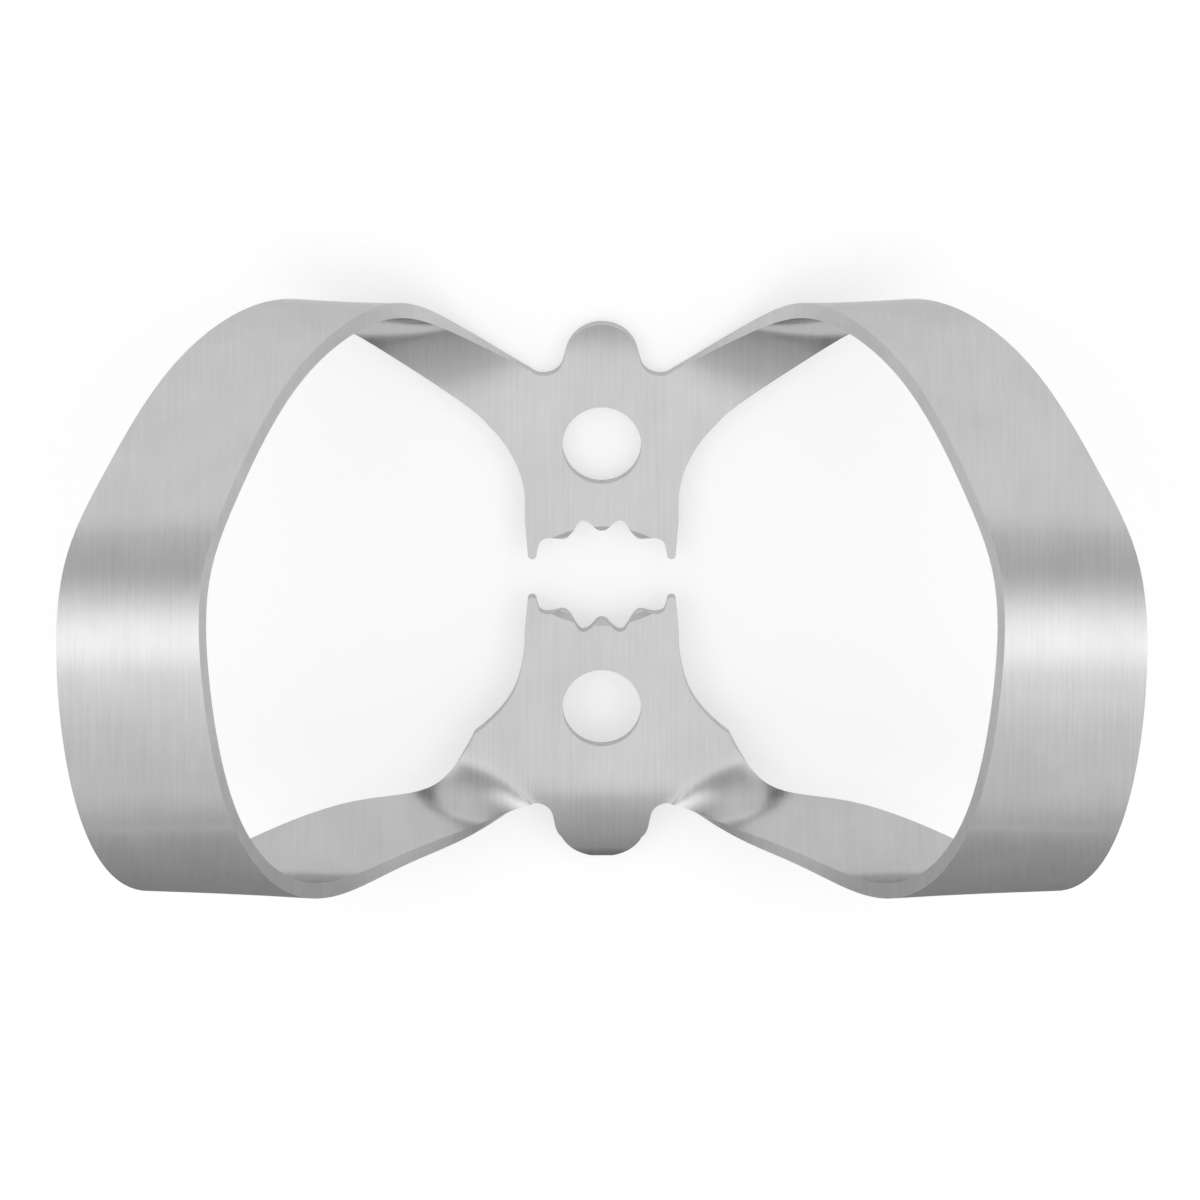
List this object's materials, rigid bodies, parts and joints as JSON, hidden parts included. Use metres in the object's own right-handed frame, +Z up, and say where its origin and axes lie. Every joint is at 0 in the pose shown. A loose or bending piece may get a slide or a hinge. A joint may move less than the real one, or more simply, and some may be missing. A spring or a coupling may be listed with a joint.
{
  "type": "rubber dam clamp",
  "caption": "Dental rubber dam clamp with toothed jaws and two raised bows, punched and bent from one piece of satin spring steel",
  "frame": {"origin": "on the ground that the clamp lies on, under the middle of its outline", "axes": "+X from bow to bow, +Y from the near jaw, with the wide tongue, to the far jaw, +Z up, the way the bows rise over the jaws"},
  "size_m": [0.0418, 0.0238, 0.0174],
  "materials": {
    "spring_steel": "satin"
  },
  "bodies": {
    "root": {"clamp": "spring_steel"}
  },
  "joints": []
}
